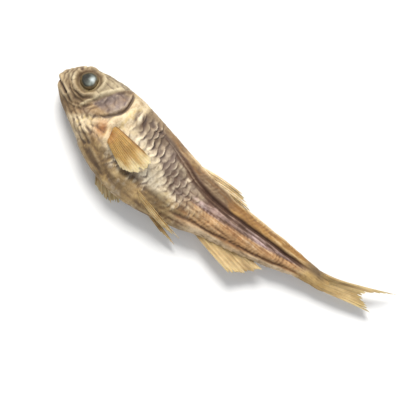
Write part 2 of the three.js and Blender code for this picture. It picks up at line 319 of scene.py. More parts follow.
# ---- the skin's relief
def head_relief(x, y, w):
    """How far the skin of the head stands out, with the eye sockets left empty."""
    r = np.hypot(x - EYE_X, y - EYE_Y)
    angle = np.arctan2(y - EYE_Y, x - EYE_X)
    rim_height = 0.25 + 0.26 * noise(angle * 1.6, x * 0.2, w * 0.3, 5)
    trench = 0.24 + 0.12 * np.cos(angle - ORBIT_TURN)
    shrunk = 0.2 * noise(1.1 * x, 1.1 * y, w, 11)
    crinkle = 0.05 * noise(2.6 * x, 2.6 * y, 2.6 * w, 12) * within(1.8, 2.7, 0.25, r)
    socket = ridge(r, SOCKET) - trench * bump(r - TRENCH_RADIUS + 0.4 * shrunk, TRENCH_REACH)
    rim = rim_height * bump(r - RIM_RADIUS + shrunk, RIM_REACH)
    folds = 0.06 * np.cos(2 * math.pi * (r + 0.28 * noise(x, y, w, 6)) / 0.66)
    folds = folds * within(2.8, 4.8, 0.4, r) * step(0.8, -0.8, y - EYE_Y + 0.6 * (x - EYE_X))
    cheek = dent(x, y, CHEEK) + ridge(y + 3.9 + 0.5 * (x - 6), CHEEK_FOLD)
    ahead = x - cheek_edge(y)
    broken = 0.8 + 0.5 * noise(0.9 * x, 0.9 * y, w, 26)
    cheek_ridge = broken * ridge(ahead, CHEEK_RIDGE) + ridge(ahead - 0.8, RIDGE_HOLLOW)
    cheek_ridge = cheek_ridge * within(-2.8, 3, 0.8, y)
    hollow = dent(x - 0.35 * y, y, GILL_HOLLOW)
    fan = np.arctan2(y - 3.4, x - 9)
    striae = 0.018 * np.sin(24 * fan + 1.8 * noise(x, y, w, 8)) * step(0.6, 1.4, ahead)
    behind = behind_gill(x, y)
    plate_end = 1 - step(-0.14, 0.1, behind + 0.1 * noise(x, 2 * y, w, 9))
    plate = mix(GILL_PLATE, GILL_PLATE_LOW, step(-0.5, -3, y)) * step(6.5, 9, x) * plate_end
    slit = mix(GILL_SLIT, GILL_SLIT_LOW, step(0.5, -2.2, y)) * bump(behind - 0.3, 0.24)
    cover = plate - slit + ridge(behind - 1.3, SHOULDER) + striae * (1 - step(-0.3, 0, behind))
    cover = cover * within(-3.2, 3, 1.2, y)
    jaw = y - belly(x)
    throat = sum(ridge(jaw - place, form) for place, form in THROAT_FOLDS)
    bone = 0.09 * rough_noise(0.9 * x, 0.9 * y, 0.9 * w, 20)
    bone = bone - 0.4 * np.clip(0.3 - np.abs(noise(0.8 * x, 1.1 * y, w, 24)), 0, 1)
    bone = bone * step(1, 3, x) * (1 - step(10, 14, x)) * step(1.9, 2.4, r)
    face = socket + crinkle + rim + folds + cheek + cheek_ridge + hollow
    return face + cover + throat * within(3.5, 10.5, 1, x) + bone


def mouth_relief(x, y):
    gape = from_segment(x, y, *GAPE)
    nostril = np.hypot((x - NOSTRIL[0]) / 0.9, y - NOSTRIL[1])
    lips = ridge(gape, (-0.36, 0.2)) + ridge(gape - 0.5, (0.12, 0.25))
    lips = lips + ridge(from_segment(x, y, *LIP_FOLD), (-0.12, 0.2))
    return lips + ridge(nostril, (-0.34, 0.3)) + ridge(nostril - 0.6, (0.09, 0.22))


def scale_pattern(x, y, w, side):
    """Overlapping scales in upright columns. Returns, for each point, how far it is towards the
    rear edge of its scale, a number from 0 to 1 for the scale that it is on, how much it is at
    the scale's rear tip, and how deep it is in the gap behind the scale in front."""
    sway = 0.05 * (y + 2.5) ** 2 + 0.5 * noise(0.4 * x, 0.5 * y, 0.4 * w, 30 + side)
    u = (x + sway) / SCALE_LENGTH + 0.22 * noise(1.1 * x, 1.3 * y, w, 32)
    v = y / SCALE_HEIGHT + 0.4 * noise(0.4 * x, 0.4 * y, 0.4 * w, 34 + side)
    v = v + 0.16 * noise(1.3 * x, 1.3 * y, w, 36)
    reach = np.zeros_like(u)
    owner = np.zeros_like(u)
    tip = np.zeros_like(u)
    gap = np.zeros_like(u)
    found = np.zeros(u.shape, bool)
    first_column = np.floor(u) - 1
    for column in range(4):
        near_u = first_column + column
        shift = 0.5 * (near_u % 2)
        near_v = np.round(v - shift) + shift
        luck = chance(near_u * 3.7 + near_v * 9.1, 4 + side)
        radius = 0.76 + 0.16 * chance(near_u * 5.3 + near_v * 2.9, 7)
        off_axis = np.abs(v - near_v)
        away = (np.abs(u - near_u) ** POINTED + off_axis**POINTED) ** (1 / POINTED)
        inside = (away < radius) & (u > near_u - 0.6) & ~found
        reach = np.where(inside, np.clip(away / radius, 0, 1), reach)
        owner = np.where(inside, luck, owner)
        edge = step(0.6, 0.85, away / radius) * (1 - step(0.93, 1, away / radius))
        tip = np.where(inside & (u > near_u), edge * bump(off_axis, 0.3), tip)
        found |= inside
        behind = bump(away - radius, 0.2) * bump(off_axis, 0.38) * (0.3 + 0.7 * luck)
        gap = np.where(found | (u < near_u), gap, np.maximum(gap, behind))
    return reach, owner, tip, gap


def fold_zone(x, y):
    """Where the scale columns shrank into upright folds, most of all below the back."""
    low = -2.6 - 1.6 * step(20, 26, x)
    return within(18.5, 27.5, 4, x) * within(low, -0.1, 1, y - back_line(x))


def scaled_part(x):
    """The scales start behind the gill cover and end at the tail fin."""
    return step(12.6, 15, x) * (1 - step(49, 53, x))


def back_strip(x, y):
    """The strip of bare skin between the dark groove and the edge of the back."""
    return step(18, 22, x) * step(-0.3, 0.2, y - back_line(x))


def muscle_relief(x, y, w, share):
    """Grooves, strips and fibres behind the belly, where the skin has shrunk onto the muscle."""
    depth = back(x) - belly(x)
    above = y - belly(x)
    over_line = y - back_line(x)
    wander = 0.16 * noise(0.35 * x, 0.2 * y, 0.4 * w, 40)
    rear_end = 1 - step(48, 52, x)
    rear = step(26, 33, x) * rear_end
    groove = ridge(over_line + wander, BACK_GROOVE) * step(17, 25, x) * rear_end
    strips = ridge(over_line + 0.75 - wander, UNDER_GROOVE) * step(25, 31, x) * rear_end
    strips = strips + ridge(above - 0.46 * depth + wander, MID_GROOVE) * rear
    strips = strips + ridge(above - 0.15 * depth - wander, LOW_GROOVE) * rear
    strips = strips + ridge(above - 0.32 * depth, MUSCLE_STRIP) * rear
    fibres = 0.1 * rough_noise(0.2 * x, 2.6 * y, 2.6 * w, 43) * step(22, 30, x)
    slant = x + 0.5 * np.abs(above - 0.3 * depth) + 0.3 * noise(0.8 * x, 0.8 * y, 0 * x, 46)
    herring = 0.03 * np.sin(2 * math.pi * slant / 0.62) * within(0.16, 0.46, 0.05, share)
    herring = herring * (0.6 + 0.8 * noise(0.5 * x, 0.8 * y, 0 * x, 47))
    cross = x - 0.5 * over_line + 0.35 * noise(0.7 * x, 0.9 * y, w, 48)
    nicks = 0.03 * np.sin(2 * math.pi * cross / 0.7) * step(20, 26, x) * step(0.3, 0.6, over_line)
    nicks = nicks * (0.5 + noise(0.6 * x, 1.2 * y, w, 49))
    return groove, strips + fibres + (herring * step(27, 33, x) + nicks) * rear_end


def shrink_relief(x, y, side):
    """Hollows over the empty belly and behind the head, and a slow unevenness."""
    dents = dent(x - side, y, BELLY_DENT) + dent(x + side, y, RIB_DENT) + dent(x, y, NECK_DENT)
    slow = np.sin(0.55 * x + 1.3 * y + 1.7 * side) + np.sin(0.95 * x - 0.8 * y + 2.1 * side + 1)
    slow = slow + np.sin(1.7 * x + 0.5 * y - 0.9 * side + 2.4)
    return dents + 0.055 * slow * step(1, 4, x) * (1 - step(48, 53, x))


def skin_detail(x, y, w, share, reach, owner, tip, gap):
    """Scales, folds, belly creases and crumpling."""
    kept = 0.3 + 0.7 * step(-0.25, 0.35, noise(0.33 * x, 0.45 * y, 0.4 * w, 50))
    kept = kept * mix(1, 0.35, step(24, 30, x) * within(0.05, 0.72, 0.08, share))
    zone = fold_zone(x, y)
    uneven = np.clip(0.75 + 0.8 * noise(0.5 * x, 0.6 * y, 0.6 * w, 52), 0.15, 1.4)
    lift = np.clip(reach / 0.86, 0, 1) ** 1.6 * (1 - step(0.88, 1, reach)) - 0.35 - 0.7 * gap
    high = (SCALE_RELIEF * kept + FOLD_RELIEF * zone * uneven) * (0.4 + owner)
    scales = scaled_part(x) * (lift + 0.4 * tip * zone) * high * (1 - 0.8 * back_strip(x, y))
    crease = 0.09 * rough_noise(0.22 * x + 0.1 * y, 1.5 * y, 1.5 * w, 55)
    crease = crease * (1 - step(0.22, 0.4, share)) * within(10, 30, 3, x)
    crumple = 0.06 * rough_noise(1.1 * x, 1.1 * y, 1.1 * w, 80) * step(1, 3, x)
    lean = x + FLAKE_LEAN * (y - FLAKE[1])
    flake = dent(lean, y, FLAKE) + dent(lean, y, FLAKE_HOLE)
    fin_base = ridge(from_segment(x, y, *FIN_SEAM), FIN_SEAM_RIDGE)
    return scales + crease + crumple + flake + fin_base


# ---- meshes
def placed(x, y, z):
    """From the fish's millimetres to the row's metres."""
    return np.stack([x - ORIGIN_X, y - ORIGIN_Y, z], axis=-1) / 1000


def make_piece(name, points, faces, tints, pearl, material):
    """A mesh with a colour and a pearly share at each point, fixed to the fish's body."""
    mesh = bpy.data.meshes.new(name)
    mesh.from_pydata(points.tolist(), [], faces)
    mesh.update()
    tint = mesh.color_attributes.new("tint", "FLOAT_COLOR", "POINT")
    rgba = np.ones((len(points), 4))
    rgba[:, :3] = to_linear(tints)
    tint.data.foreach_set("color", rgba.ravel())
    shine = mesh.attributes.new("pearl", "FLOAT", "POINT")
    shine.data.foreach_set("value", np.clip(pearl, 0, 1).astype(float))
    mesh.polygons.foreach_set("use_smooth", [True] * len(mesh.polygons))
    mesh.materials.append(material)
    piece = bpy.data.objects.new(name, mesh)
    bpy.context.scene.collection.objects.link(piece)
    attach(piece, "root")
    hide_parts("minnow")


def ring_faces(rings, around):
    """Quads between closed rings of points, each with the given number of points."""
    ring = np.arange(rings - 1)[:, None] * around
    here = np.arange(around)[None, :]
    after = (here + 1) % around
    quads = np.stack([ring + here, ring + after, ring + around + after, ring + around + here], -1)
    return quads.reshape(-1, 4).tolist()


def closed_faces(rings, around):
    """The same with both ends closed by triangles round a middle point. The points of the
    rings come first, then the middle points of the first and of the last ring."""
    faces = ring_faces(rings, around)
    count = rings * around
    last = count - around
    for j in range(around):
        after = (j + 1) % around
        faces.append([count, after, j])
        faces.append([count + 1, last + j, last + after])
    return faces


# ---- materials
def new_material(name):
    material = bpy.data.materials.new(name)
    material.use_nodes = True
    nodes = material.node_tree.nodes
    links = material.node_tree.links
    coordinates = nodes.new("ShaderNodeTexCoord")
    return material, nodes, links, nodes["Principled BSDF"], coordinates


def noise_node(nodes, links, coordinates, scale, detail):
    texture = nodes.new("ShaderNodeTexNoise")
    texture.inputs["Scale"].default_value = scale
    texture.inputs["Detail"].default_value = detail
    links.new(coordinates.outputs["Object"], texture.inputs["Vector"])
    return texture.outputs["Fac"]


def ramp_node(nodes, links, source, stops):
    ramp = nodes.new("ShaderNodeValToRGB")
    while len(ramp.color_ramp.elements) < len(stops):
        ramp.color_ramp.elements.new(0.5)
    for element, (place, value) in zip(ramp.color_ramp.elements, stops):
        element.position = place
        element.color = (*value, 1)
    links.new(source, ramp.inputs["Fac"])
    return ramp.outputs["Color"]


def multiply_node(nodes, links, first, second, share):
    node = nodes.new("ShaderNodeMix")
    node.data_type = "RGBA"
    node.blend_type = "MULTIPLY"
    node.inputs["Factor"].default_value = share
    links.new(first, node.inputs["A"])
    links.new(second, node.inputs["B"])
    return node.outputs["Result"]


def range_node(nodes, links, source, low, high):
    node = nodes.new("ShaderNodeMapRange")
    node.inputs["To Min"].default_value = low
    node.inputs["To Max"].default_value = high
    links.new(source, node.inputs["Value"])
    return node.outputs["Result"]


def attribute_node(nodes, name, output):
    node = nodes.new("ShaderNodeAttribute")
    node.attribute_name = name
    return node.outputs[output]


def finish_surface(nodes, links, shader, grain, specular, strength, depth):
    """How far the surface shines, and wrinkles finer than the mesh, of a depth in metres."""
    shader.inputs["Specular IOR Level"].default_value = specular
    wrinkle = nodes.new("ShaderNodeBump")
    wrinkle.inputs["Strength"].default_value = strength
    wrinkle.inputs["Distance"].default_value = depth
    links.new(grain, wrinkle.inputs["Height"])
    links.new(wrinkle.outputs["Normal"], shader.inputs["Normal"])


def skin_material():
    """Dull skin with blotches, grain and specks. Pearly points are smoother than the rest."""
    material, nodes, links, shader, coordinates = new_material("dried_skin")
    blotch = noise_node(nodes, links, coordinates, 420, 5)
    blotch_colour = ramp_node(nodes, links, blotch, [
        (0.3, (0.74, 0.69, 0.62)), (0.5, (0.97, 0.96, 0.94)), (0.72, (1.12, 1.1, 1.06)),
    ])
    grain = noise_node(nodes, links, coordinates, 2600, 4)
    grain_colour = ramp_node(nodes, links, grain, [
        (0.32, (0.7, 0.66, 0.6)), (0.5, (1, 1, 1)), (0.7, (1.1, 1.1, 1.08)),
    ])
    speck = nodes.new("ShaderNodeTexVoronoi")
    speck.inputs["Scale"].default_value = 2100
    links.new(coordinates.outputs["Object"], speck.inputs["Vector"])
    speck_colour = ramp_node(nodes, links, speck.outputs["Distance"], [
        (0.1, (0.5, 0.45, 0.4)), (0.24, (1, 1, 1)),
    ])
    painted = attribute_node(nodes, "tint", "Color")
    for pattern, share in ((blotch_colour, 0.8), (grain_colour, 0.5), (speck_colour, 0.4)):
        painted = multiply_node(nodes, links, painted, pattern, share)
    links.new(painted, shader.inputs["Base Color"])
    roughness = nodes.new("ShaderNodeMix")
    links.new(attribute_node(nodes, "pearl", "Fac"), roughness.inputs["Factor"])
    links.new(range_node(nodes, links, grain, 0.6, 0.86), roughness.inputs["A"])
    links.new(range_node(nodes, links, grain, 0.3, 0.5), roughness.inputs["B"])
    links.new(roughness.outputs["Result"], shader.inputs["Roughness"])
    finish_surface(nodes, links, shader, grain, 0.4, 0.55, 0.00009)
    return material


def fin_material():
    """Thin dry membrane that lets some light through."""
    material, nodes, links, shader, coordinates = new_material("dried_fin")
    blotch = noise_node(nodes, links, coordinates, 700, 5)
    blotch_colour = ramp_node(nodes, links, blotch, [
        (0.3, (0.72, 0.64, 0.52)), (0.5, (0.97, 0.96, 0.93)), (0.7, (1.1, 1.08, 1.05)),
    ])
    grain = noise_node(nodes, links, coordinates, 3400, 3)
    tint = attribute_node(nodes, "tint", "Color")
    painted = multiply_node(nodes, links, tint, blotch_colour, 0.8)
    links.new(painted, shader.inputs["Base Color"])
    links.new(range_node(nodes, links, grain, 0.45, 0.75), shader.inputs["Roughness"])
    shader.inputs["Subsurface Weight"].default_value = 0.25
    shader.inputs["Subsurface Radius"].default_value = (0.0009, 0.0006, 0.0003)
    shader.inputs["Subsurface Scale"].default_value = 1
    finish_surface(nodes, links, shader, grain, 0.4, 0.5, 0.00006)
    return material


def eye_material():
    """Cloudy, dried-out eye that shines little."""
    material, nodes, links, shader, coordinates = new_material("dried_eye")
    grain = noise_node(nodes, links, coordinates, 1500, 4)
    cloud = ramp_node(nodes, links, grain, [
        (0.3, (0.62, 0.64, 0.62)), (0.52, (1, 1, 1)), (0.7, (1.2, 1.2, 1.18)),
    ])
    painted = multiply_node(nodes, links, attribute_node(nodes, "tint", "Color"), cloud, 0.8)
    links.new(painted, shader.inputs["Base Color"])
    links.new(range_node(nodes, links, grain, 0.4, 0.7), shader.inputs["Roughness"])
    finish_surface(nodes, links, shader, grain, 0.14, 0.3, 0.00006)
    return material


# ---- colours of the skin
# In the layers below, lengths are in millimetres, tone and share are heights from the belly (0)
# to the back (1), and the first number of a layer's share is how strong it is at most.
MID_FLANK = colour(196, 176, 143)
FLANK_CREAM = colour(232, 215, 184)
# Painted shade: the dark behind scale edges, beside the flake and in the fine hollows of the front
# body.
FLANK_SHADE = colour(70, 54, 47)
BACK_GREY = colour(128, 109, 86)
BACK_GOLD = colour(148, 108, 54)
# Pale skin of the back and the dorsal fin, also used as painted highlight along the back's edge.
BACK_PALE_AND_HIGHLIGHT = colour(222, 203, 166)
STRIP_BROWN = colour(112, 91, 69)
# Belly colours, darker than the skin's own as painted shade of the underside.
BELLY_SHADED_TAN = colour(151, 125, 85)
BELLY_SHADED_BROWN = colour(104, 82, 54)
# Dark brown for painted shade in the back groove, mouth, nostril, flake hollow and fine hollows of
# the rear body, and for dark streaks in the purple band.
GROOVE_DARK = colour(72, 48, 34)
PURPLE_BAND = colour(142, 116, 110)
LAVENDER = colour(196, 170, 170)
ORANGE_BAND = colour(176, 132, 86)
ORANGE_DARK = colour(130, 88, 50)
BAND_CREAM = colour(216, 190, 156)
LOW_EDGE = colour(128, 91, 54)
HEAD_TAN = colour(166, 150, 120)
HEAD_BROWN = colour(108, 88, 64)
# Brown of the cheek, darkened as painted shade of the head's lower side.
CHEEK_SHADED_BROWN = colour(116, 92, 62)
# Painted shade in the trench round the eye.
ORBIT_SHADE = colour(92, 70, 48)
ORBIT_OLIVE = colour(150, 132, 84)
LIP_PALE = colour(190, 170, 134)
RIDGE_PALE = colour(204, 192, 158)
GILL_PURPLE = colour(124, 109, 110)
# Painted shade on the gill cover.
GILL_SHADE = colour(92, 77, 74)
COVER_TAN = colour(160, 130, 92)
# Painted shade in the gill slit.
SLIT_SHADE = colour(82, 54, 36)
SHOULDER_CREAM = colour(222, 204, 170)
FIN_BASE_ORANGE = colour(152, 92, 50)
FIN_BASE_CREAM = colour(228, 204, 164)
THROAT_TAN = colour(140, 114, 82)
TAIL_DARK = colour(98, 80, 58)
TAIL_GOLD = colour(168, 138, 86)
FLAKE_PALE = colour(232, 220, 196)
YELLOWED = colour(214, 186, 122)
BLEACHED = colour(214, 206, 196)
# Pale bleached skin, also used as painted highlight on the scales' tips.
WHITENED_AND_GLINT = colour(228, 216, 192)
OLIVE_GREY = colour(136, 122, 96)
DUSKY = colour(100, 83, 75)


def head_colours(paint, x, y, w, cloud, warp):
    """The head from tan skin to orbit, gill cover, cheek ridge, lips and nostril, with painted shade
    low on the head and in the socket, gill hollow, mouth and nostril.
    """
    underside = 1 - step(-5.2, -3.2, y)
    behind = behind_gill(x, y) + 1.6 * underside * warp
    head = 1 - step(-0.05 - 1.6 * underside, 0.3 + 1.6 * underside, behind)
    spots = rough_noise(1.4 * x, 1.4 * y, 1.4 * w, 61)
    low = 1 - step(-1.6, 0.6, y + 0.4 * warp)
    r = np.hypot(x - EYE_X, y - EYE_Y)
    deep_side = 0.5 + 0.4 * np.cos(np.arctan2(y - EYE_Y, x - EYE_X) - ORBIT_TURN)
    ahead = x - cheek_edge(y)
    across = ahead / np.maximum(gill_edge(y) - cheek_edge(y), 0.5)
    cover = head * step(0.1, 0.3, across)
    plate = cover * within(0.24, 1, 0.08, across + 0.08 * warp)
    plate = plate * within(-0.9, 2.7, 0.8, y + 0.5 * warp)
    cheek_ridge = bump(ahead, 0.34) * within(-2.4, 3, 0.6, y)
    gape = from_segment(x, y, *GAPE)
    nostril = np.hypot(x - NOSTRIL[0], y - NOSTRIL[1])
    return layered(paint, [
        (HEAD_TAN, head),
        (HEAD_BROWN, head * 0.75 * step(0.02, 0.6, cloud + 0.5 * spots)),
        (OLIVE_GREY, 0.6 * head * step(-0.9, -0.1, y - back(x) + 0.5 * spots)),
        # Brown cheek low on the head, partly its own colour and partly painted shade of the side
        # turned from the light.
        (CHEEK_SHADED_BROWN, 0.85 * head * low * (1 - step(6.5, 9, x))),
        (THROAT_TAN, head * (1 - step(-4.4, -3, y)) * step(3, 6, x)),
        (ORBIT_OLIVE, 0.8 * bump(r - 1.75, 0.4)),
        # Painted shade in the trench round the eye, strongest on the socket's deep side.
        (ORBIT_SHADE, deep_side * bump(r - 1.95, 0.36)),
        (RIDGE_PALE, 0.55 * bump(r - 2.6, 0.28) * step(-0.3, 0.4, spots)),
        (COVER_TAN, cover * within(-4, 4, 0.6, y)),
        (GILL_PURPLE, 0.9 * plate * (0.75 + 0.4 * spots)),
        # Painted shade in the hollow behind the cheek ridge, and on the lower part of the gill cover.
        (GILL_SHADE, 0.75 * plate * bump(across - 0.34 + 0.1 * spots, 0.15)),
        (GILL_SHADE, 0.4 * cover * bump(y + 2.6 + 0.6 * across + 0.4 * warp, 0.7)),
        (HEAD_BROWN, 0.7 * cover * within(0.1, 0.7, 0.2, across) * step(2.2, 3, y)),
        (RIDGE_PALE, 0.8 * cheek_ridge * np.clip(0.75 + 0.9 * spots, 0, 1)),
        (LIP_PALE, 0.7 * bump(gape - 0.55, 0.35)),
        # Painted shade in the mouth's slit and in the nostril's hollow.
        (GROOVE_DARK, 0.65 * bump(gape, 0.17)),
        (GROOVE_DARK, 0.85 * bump(nostril, 0.3)),
    ])


def shoulder_colours(paint, x, y, w, warp):
    """The pale belt behind the gill cover, painted shade in the slit, and the root of the pectoral
    fin.
    """
    behind = behind_gill(x, y)
    tall = within(-5, 3.6, 0.8, y)
    bright = within(0.5, 2.8, 0.6, behind + 0.5 * warp) * tall
    fleck = rough_noise(1.6 * x, 1.2 * y, 1.2 * w, 88)
    slit = mix(0.4, 0.05, step(0.5, -2, y)) * (1 + 0.8 * warp)
    ahead = (x - 12.6 - 0.46 * (-2.2 - y)) < 0
    return layered(paint, [
        (SHOULDER_CREAM, 0.9 * bright),
        (YELLOWED, 0.6 * bright * step(0, 0.5, fleck)),
        (COVER_TAN, 0.45 * bright * step(0.1, 0.6, -fleck)),
        # Painted shade in the gill slit under the cover's rear edge.
        (SLIT_SHADE, slit * bump(behind - 0.22, 0.22) * tall),
        (FIN_BASE_ORANGE, 0.8 * patch(x - 11.6, y + 3.7, 1.3, 1.3) * np.where(ahead, 1, 0.5)),
        (FIN_BASE_CREAM, 0.75 * bump(from_segment(x, y, (12, -2.2), (13.5, -5.4)), 0.32)),
    ])


def rear_colours(paint, x, y, share, along, streak, thread):
    """Long bands behind the belly, each with its own streaks, and a painted highlight along the top
    edge of the back.
    """
    tone = share + 0.03 * streak
    under = back_line(x) - y + 0.22 * streak
    rear = step(27, 33, along + 1.2 * streak) * (1 - step(48, 51, along))
    purple = rear * step(-0.1, 0.2, under) * step(0.42, 0.5, tone)
    band = rear * within(0.1, 0.42, 0.06, tone)
    strip = step(17, 21, along) * (1 - step(-0.35, 0.05, under))
    gold = mix(0.4, 0.92, step(20, 30, along + 2 * streak))
    brown = 0.45 * within(22, 34, 2, along) + 0.4 * within(28, 33.5, 2, along)
    pale = strip * (1 - 0.7 * within(22, 34, 2, along))
    end = step(48.5, 51.5, along)
    return layered(paint, [
        (ORANGE_BAND, 0.9 * rear * within(0.1, 0.47, 0.04, tone)),
        (ORANGE_DARK, 0.85 * band * step(-0.1, 0.35, streak + 0.3 * thread)),
        (BAND_CREAM, 0.7 * rear * within(0.3, 0.5, 0.04, tone) * step(0.1, 0.5, thread)),
        (BAND_CREAM, 0.7 * rear * (1 - step(0.09, 0.14, tone))),
        (LOW_EDGE, 0.85 * step(33, 40, along) * bump(tone - 0.13, 0.05)),
        (PURPLE_BAND, 0.9 * purple),
        (LAVENDER, 0.85 * purple * step(0.05, 0.4, streak + 0.5 * thread)),
        (GROOVE_DARK, 0.75 * purple * step(0.1, 0.45, -streak - 0.4 * thread)),
        (BACK_GOLD, gold * strip),
        (STRIP_BROWN, brown * strip),
        (LOW_EDGE, 0.7 * strip * step(0, 0.4, streak + 0.6 * thread)),
        (BACK_PALE_AND_HIGHLIGHT, 0.5 * pale * step(0.1, 0.5, -streak - 0.6 * thread)),
        # Painted highlight along the top edge of the back.
        (BACK_PALE_AND_HIGHLIGHT, 0.75 * within(26, 44, 3, along) * step(0.93, 0.99, share)),
        (TAIL_GOLD, 0.9 * end),
        (TAIL_DARK, 0.85 * end * step(0.4, 0.75, tone) * (1 - step(52.5, 54.5, x))),
    ])


def back_line_share(x, y, along, streak, thread):
    """How dark the line painted in the groove under the back is: painted shade of the groove."""
    thick = mix(0.6, 1.3, within(24.5, 34, 2, along))
    from_middle = np.abs(back_line(x) - y + 0.22 * streak - 0.08)
    line = (1 - step(0.3, 0.72, from_middle / thick)) * step(17, 21, along)
    return 0.92 * line * (1 - step(48, 51, along)) * (0.9 + 0.4 * thread)


def skin_colours(x, y, w, share, cavity, groove, scales):
    """Colours of the whole skin, with painted shade in hollows and grooves and painted highlights on
    raised relief. cavity is the fine relief, and groove that of the dark line.
    """
    reach, owner, tip, gap = scales
    warp = 0.5 * rough_noise(0.5 * x, 0.5 * y, 0.5 * w, 60)
    cloud = rough_noise(0.22 * x, 0.4 * y, 0.4 * w, 64)
    mottle = rough_noise(0.8 * x, 0.8 * y, 0.8 * w, 73)
    streak = rough_noise(0.16 * x, 2 * y, 2 * w, 67)
    thread = rough_noise(0.4 * x, 5 * y, 5 * w, 70)
    low_streak = rough_noise(0.2 * x, 1.3 * y, 1.3 * w, 76)
    blot = rough_noise(1.5 * x, 0.6 * y, 0.6 * w, 83)
    # Random patches where the painted shade of the scales is weaker.
    patchy_shade = 0.5 + 0.5 * noise(0.45 * x, 0.5 * y, 0.5 * w, 78)
    along = x + warp
    tone = share + 0.07 * warp
    zone = fold_zone(x, y)
    low = (1 - step(0.2, 0.36, tone)) * within(11, 30, 3, along)
    paint = layered(np.broadcast_to(MID_FLANK, (*x.shape, 3)), [
        (FLANK_CREAM, 0.8 * within(13, 27, 4, along) * within(0.3, 0.72, 0.1, tone)),
        (BACK_GREY, 0.85 * step(0.74, 0.9, tone) * step(12, 15, along)),
        # The belly's tan and brown streaks, darkened as painted shade of the underside.
        (BELLY_SHADED_TAN, low),
        (BELLY_SHADED_BROWN, 0.85 * low * step(-0.25, 0.4, low_streak)),
        (YELLOWED, 0.45 * step(0.15, 0.6, mottle)),
        (BLEACHED, 0.4 * step(0.15, 0.6, -mottle) * step(12, 14, x)),
    ])
    paint = rear_colours(paint, x, y, share, along, streak, thread)
    bare = 1 - back_strip(x, y)
    flank = within(14.5, 30.5, 2, along) * within(0.22, 0.88, 0.08, tone) * bare
    cream = within(13, 24, 3, along) * within(0.3, 0.75, 0.1, tone) * (1 - zone)
    white = 0.5 * cream + 0.6 * flank * (1 - 0.8 * zone) * step(0.05, 0.5, blot)
    # How strong the painted shadow in the gaps behind the scales is.
    depth = np.clip(0.45 * flank + 0.95 * zone, 0, 1) * bare * step(-0.1, 0.3, patchy_shade)
    # Painted highlight on the raised rear tips of the scales.
    tipped = np.clip(flank + zone, 0, 1) * tip * (1 - 0.7 * step(25.5, 29, x))
    paint = layered(paint, [
        (DUSKY, 0.9 * zone * step(-0.7, 0.2, mottle)),
        (BACK_GREY, 0.5 * within(14, 20, 2, along) * within(0.72, 0.95, 0.1, tone)),
        (WHITENED_AND_GLINT, np.clip(white, 0, 0.8)),
        (OLIVE_GREY, 0.5 * flank * (1 - zone) * step(0.15, 0.65, -blot)),
        # Painted shadow cast by each scale's rear edge into the gap behind it.
        (FLANK_SHADE, depth * np.clip(1.5 * gap, 0, 1)),
        # Painted highlight on the scale tips.
        (WHITENED_AND_GLINT, 0.8 * tipped * step(0.4, 0.75, owner)),
        (OLIVE_GREY, 0.4 * within(25, 31, 2, along) * flank * step(-0.3, 0.4, low_streak)),
        # Painted shade in the groove under the back.
        (GROOVE_DARK, back_line_share(x, y, along, streak, thread)),
    ])
    scaled = scaled_part(x) * (1 - 0.7 * back_strip(x, y))
    # Painted shade along each scale's rear rim, where the edge steps down.
    paint = paint * (1 - (0.16 * scaled * step(0.86, 1, reach) * patchy_shade)[..., None])
    paint = paint * (1 + (0.14 * scaled * (owner - 0.5))[..., None])
    paint = head_colours(paint, x, y, w, cloud, warp)
    paint = shoulder_colours(paint, x, y, w, warp)
    lean = x + FLAKE_LEAN * (y - FLAKE[1])
    paint = layered(paint, [
        # Painted shade in the hollow behind the flake and beside its front edge.
        (GROOVE_DARK, 0.85 * patch(lean - FLAKE_HOLE[0], y - FLAKE_HOLE[1], 0.5, 1)),
        (FLANK_SHADE, 0.6 * patch(lean - 14.6, y - 0.9, 0.3, 0.9)),
        (FLAKE_PALE, 0.95 * patch(lean - FLAKE[0], y - FLAKE[1], 0.36, 0.8)),
    ])
    # Painted shade: hollows of the fine relief and the back groove are darkened, with darker brown
    # behind x = 24.
    dark = np.where((x > 24)[..., None], GROOVE_DARK, FLANK_SHADE)
    shade = 0.8 * np.clip(-cavity / 0.09, 0, 1) + 0.6 * np.clip(-groove / 0.4, 0, 1)
    shade = shade * mix(1, 0.6, 1 - step(-0.3, 0.2, behind_gill(x, y)))
    # Painted highlight: share of cream laid on raised fine relief, less along the back groove and in
    # the fold zone.
    lit = 1 - 0.9 * step(17, 21, x) * bump(y - back_line(x), 1) - 0.6 * zone
    paint = layered(paint, [
        (dark, np.clip(0.8 * shade, 0, 0.85)),
        (FLANK_CREAM, 0.35 * np.clip(lit * cavity / 0.1, 0, 1)),
    ])
    return paint * (1 + 0.12 * cloud)[..., None]


# ---- the body
def body_grid():
    """x and phi of each point. Rings crowd towards the snout, and points towards the flanks."""
    t = np.linspace(0, 1, BODY_RINGS)
    ring_x = 0.02 + (BODY_END - 0.04) * (0.7 * t + 0.3 * t * t)
    turn = np.arange(RING_POINTS) * 2 * math.pi / RING_POINTS
    return np.meshgrid(ring_x, turn + FLANK_CROWDING * np.sin(2 * turn), indexing="ij")


def grid_normals(points):
    """Directions out of the skin, for a grid of points."""
    along = np.gradient(points, axis=0)
    around = np.roll(points, -1, axis=1) - np.roll(points, 1, axis=1)
    normals = np.cross(around, along)
    return normals / np.maximum(np.linalg.norm(normals, axis=-1, keepdims=True), 1e-9)


def softened(values, rings, points):
    """The mean over a window of the grid, rings to each side along the body and points around."""
    padded = np.pad(values, ((rings, rings), (0, 0)), mode="edge")
    total = sum(padded[i:i + len(values)] for i in range(2 * rings + 1)) / (2 * rings + 1)
    return sum(np.roll(total, j, axis=1) for j in range(-points, points + 1)) / (2 * points + 1)


